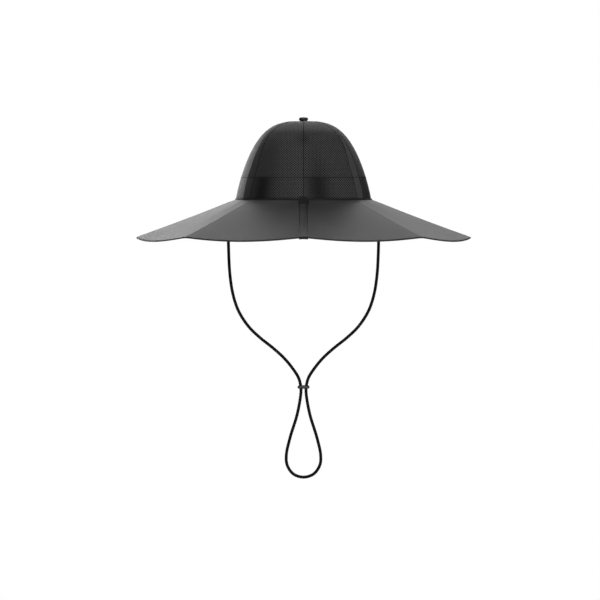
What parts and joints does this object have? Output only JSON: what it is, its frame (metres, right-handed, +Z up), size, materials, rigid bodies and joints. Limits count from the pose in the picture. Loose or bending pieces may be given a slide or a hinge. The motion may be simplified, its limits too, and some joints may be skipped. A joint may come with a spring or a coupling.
{
  "type": "solar panel hat",
  "caption": "Wide-brimmed sun hat with a domed mesh crown, flat solar facets between the brim's folds, and a hanging chin cord with a slider.",
  "frame": {"origin": "centre of the head opening, level with the line where the crown meets the brim", "axes": "+Z up along the crown, -Y towards the front fold with the strip, +X to the right of someone who looks at the front"},
  "size_m": [0.4408, 0.4423, 0.4754],
  "materials": {
    "crown_mesh": "black polyester net with fine diamond holes",
    "seam_tape": "black woven tape",
    "button": "black cloth over a button shell",
    "sweatband": "black brushed band",
    "binding": "black ribbed binding",
    "brim_cover": "matte charcoal cover over the flat solar panels",
    "strip": "dark grey webbing",
    "cord": "black twisted cord",
    "slider": "satin dark grey"
  },
  "bodies": {
    "root": {"crown_gore_front_right": "crown_mesh", "crown_gore_right": "crown_mesh", "crown_gore_back_right": "crown_mesh", "crown_gore_back_left": "crown_mesh", "crown_gore_left": "crown_mesh", "crown_gore_front_left": "crown_mesh", "seam_tape_front": "seam_tape", "seam_tape_front_right": "seam_tape", "seam_tape_back_right": "seam_tape", "seam_tape_back": "seam_tape", "seam_tape_back_left": "seam_tape", "seam_tape_front_left": "seam_tape", "top_button": "button", "sweatband": "sweatband", "base_piping": "binding", "brim_panel_front_right": "brim_cover", "brim_panel_right_front": "brim_cover", "brim_panel_right_back": "brim_cover", "brim_panel_back_right": "brim_cover", "brim_panel_back_left": "brim_cover", "brim_panel_left_back": "brim_cover", "brim_panel_left_front": "brim_cover", "brim_panel_front_left": "brim_cover", "hem_binding": "binding", "front_strip": "strip", "strip_patch": "binding", "strip_end_tab": "binding", "cord_anchor_right": "binding", "cord_anchor_left": "binding", "chin_cord": "cord", "cord_slider": "slider"}
  },
  "joints": []
}
